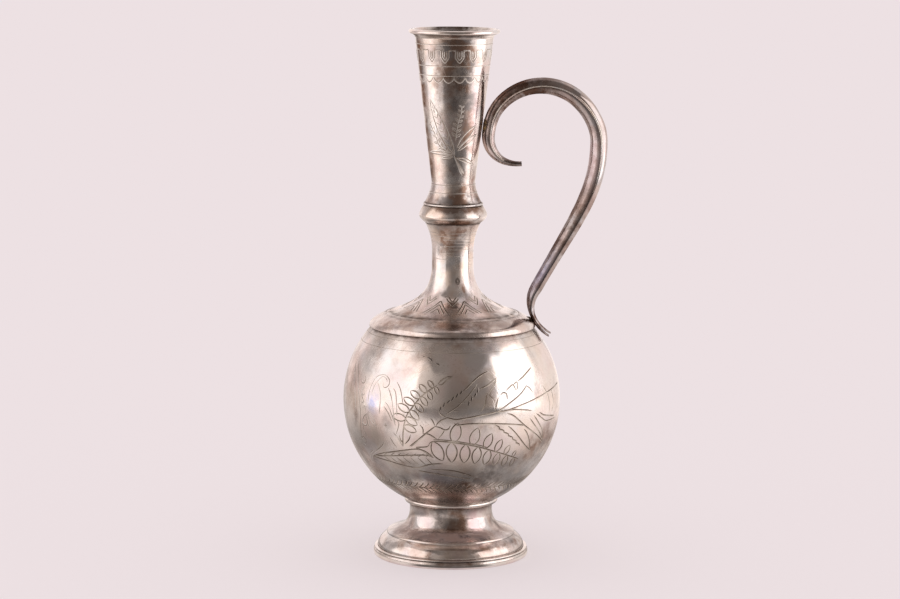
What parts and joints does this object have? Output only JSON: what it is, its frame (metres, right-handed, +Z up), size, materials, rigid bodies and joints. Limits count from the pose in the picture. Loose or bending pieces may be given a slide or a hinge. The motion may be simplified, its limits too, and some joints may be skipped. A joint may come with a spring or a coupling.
{
  "type": "silver jug",
  "caption": "Footed silver jug with a globe body, narrow neck with a knop, flared beaker mouth and a hollow scroll handle, for pouring drinks.",
  "frame": {"origin": "middle of the jug's footprint box, on the table; the axis of the foot, globe and neck stands 10.55 mm towards -X, because the handle reaches out on +X", "axes": "+Z up along the jug's axis, +X towards the handle, -Y towards the engraved front"},
  "size_m": [0.1238, 0.1028, 0.25],
  "materials": {
    "aged_silver": "hand-burnished silver, engraved, with brown and grey tarnish and fine scratches",
    "handle_silver": "plain silver strip, darker with tarnish than the body",
    "solder": "dull yellow-brown hard solder, left rough"
  },
  "bodies": {
    "root": {"foot_rim_wire": "aged_silver", "foot": "aged_silver", "foot_collar": "aged_silver", "body": "aged_silver", "shoulder_moulding": "aged_silver", "shoulder_neck": "aged_silver", "knop": "aged_silver", "knop_wire": "aged_silver", "neck_beaker": "aged_silver", "mouth_rim_wire": "aged_silver", "handle_outer_strip": "handle_silver", "handle_inner_strip": "handle_silver", "handle_upper_solder": "solder", "handle_lower_solder": "solder"}
  },
  "joints": []
}
